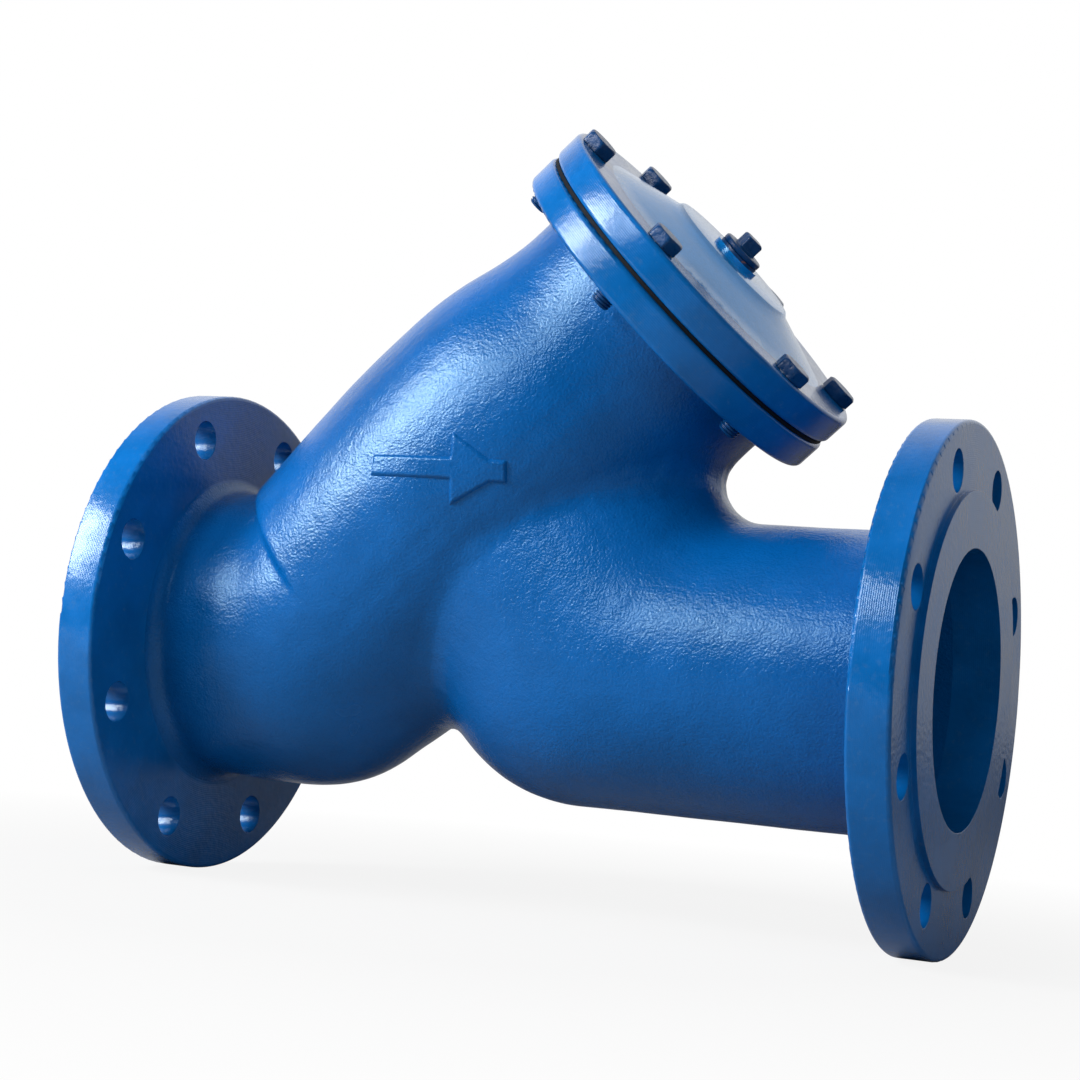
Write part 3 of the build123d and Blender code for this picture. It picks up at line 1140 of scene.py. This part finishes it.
def make_sky(stage):
    """White for the camera, a bright backdrop for reflections, and a weak even light otherwise."""
    world = bpy.data.worlds.new("studio")
    bpy.context.scene.world = world
    world.use_nodes = True
    tree = world.node_tree
    seen = add_node(tree, "ShaderNodeLightPath")
    way = add_node(tree, "ShaderNodeTexCoord").outputs["Generated"]
    way = add_node(tree, "ShaderNodeSeparateXYZ", {0: way})
    behind = span(tree, way.outputs["Y"], 0.1, 0.6)
    above = span(tree, way.outputs["Z"], 0.0, 0.3, 0.4, 1.0)
    backdrop = sums(tree, "MULTIPLY", behind, above)
    shown = sums(tree, "MULTIPLY", seen.outputs["Is Glossy Ray"], backdrop)
    plain = sums(tree, "MAXIMUM", seen.outputs["Is Camera Ray"], seen.outputs["Is Transmission Ray"])
    dim = span(tree, seen.outputs["Is Glossy Ray"], 0.0, 1.0, stage.sky, 0.3 * stage.sky)
    strength = span(tree, sums(tree, "MAXIMUM", plain, shown), 0.0, 1.0, dim, 1.0)
    tree.nodes["Background"].inputs["Color"].default_value = (1, 1, 1, 1)
    tree.links.new(strength, tree.nodes["Background"].inputs["Strength"])


def make_lamps(stage):
    """Square lamps turned to the strainer, each with its place, width, power and if enamel mirrors it."""
    lamps = (
        ("key_lamp", (-1.167, -1.116, 0.872), 0.8, stage.key_power, True),
        ("top_lamp", (0.1, -0.3, 2.0), 1.4, stage.top_power, False),
        ("fill_lamp", (1.9, -1.3, 0.5), 1.2, stage.fill_power, False),
        ("front_lamp", (-0.48, -1.77, 1.17), 0.6, stage.front_power, True),
    )
    for name, spot, size, power, mirrored in lamps:
        data = bpy.data.lights.new(name, "AREA")
        data.shape = "SQUARE"
        data.size = size
        data.energy = power
        lamp = bpy.data.objects.new(name, data)
        lamp.location = spot
        lamp.visible_glossy = mirrored
        lamp.rotation_euler = (lamp.location - LAMP_TARGET).to_track_quat("Z", "Y").to_euler()
        bpy.context.scene.collection.objects.link(lamp)


def make_camera():
    """Camera at the photograph's place, turned, tilted and rolled."""
    turn, tilt, roll = CAMERA_TURN, CAMERA_TILT, CAMERA_ROLL
    back = Vector((sin(turn) * cos(tilt), -cos(turn) * cos(tilt), sin(tilt)))
    right = (-back).cross(Vector((0, 0, 1))).normalized()
    up = right.cross(-back)
    side = right * cos(roll) + up * sin(roll)
    top = up * cos(roll) - right * sin(roll)
    data = bpy.data.cameras.new("camera")
    data.lens = CAMERA_LENS
    data.clip_end = 50.0
    camera = bpy.data.objects.new("camera", data)
    facing = Matrix((side, top, back)).transposed().to_4x4()
    camera.matrix_world = Matrix.Translation(CAMERA_PLACE) @ facing
    bpy.context.scene.collection.objects.link(camera)
    bpy.context.scene.camera = camera


class STRAINER_OT_stage(bpy.types.Operator):
    """Sets the floor, the soft studio lamps, the plain sky and the camera"""

    bl_idname = "strainer.stage"
    bl_label = "Stage"

    def execute(self, context):
        stage = context.scene.strainer_stage
        make_floor(stage)
        make_sky(stage)
        make_lamps(stage)
        make_camera()
        context.scene.view_settings.view_transform = "Standard"
        return {"FINISHED"}


class STRAINER_PT_panel(bpy.types.Panel):
    """Lists the strainer's pieces in the sidebar"""

    bl_idname = "STRAINER_PT_panel"
    bl_label = "Pipe Strainer"
    bl_space_type = "VIEW_3D"
    bl_region_type = "UI"
    bl_category = "Strainer"

    def draw(self, context):
        for operator in OPERATORS:
            self.layout.operator(operator.bl_idname)


SETTINGS = {
    "strainer_paint": PaintSettings,
    "strainer_casting": CastingSettings,
    "strainer_arrow": ArrowSettings,
    "strainer_screws": ScrewSettings,
    "strainer_plug": PlugSettings,
    "strainer_screen": ScreenSettings,
    "strainer_stage": StageSettings,
}
OPERATORS = (
    STRAINER_OT_casting,
    STRAINER_OT_arrow,
    STRAINER_OT_cover,
    STRAINER_OT_screws,
    STRAINER_OT_plug,
    STRAINER_OT_screen,
    STRAINER_OT_stage,
)


def register():
    for kind in (*SETTINGS.values(), *OPERATORS, STRAINER_PT_panel):
        bpy.utils.register_class(kind)
    for name, kind in SETTINGS.items():
        setattr(bpy.types.Scene, name, PointerProperty(type=kind))


def unregister():
    for name in SETTINGS:
        delattr(bpy.types.Scene, name)
    for kind in (STRAINER_PT_panel, *OPERATORS, *SETTINGS.values()):
        bpy.utils.unregister_class(kind)


def main():
    """Builds the strainer's visible pieces and its stage."""
    register()
    bpy.ops.strainer.casting()
    bpy.ops.strainer.arrow()
    bpy.ops.strainer.cover()
    bpy.ops.strainer.screws()
    bpy.ops.strainer.plug()
    bpy.ops.strainer.screen()
    bpy.ops.strainer.stage()


if __name__ == "__main__":
    main()
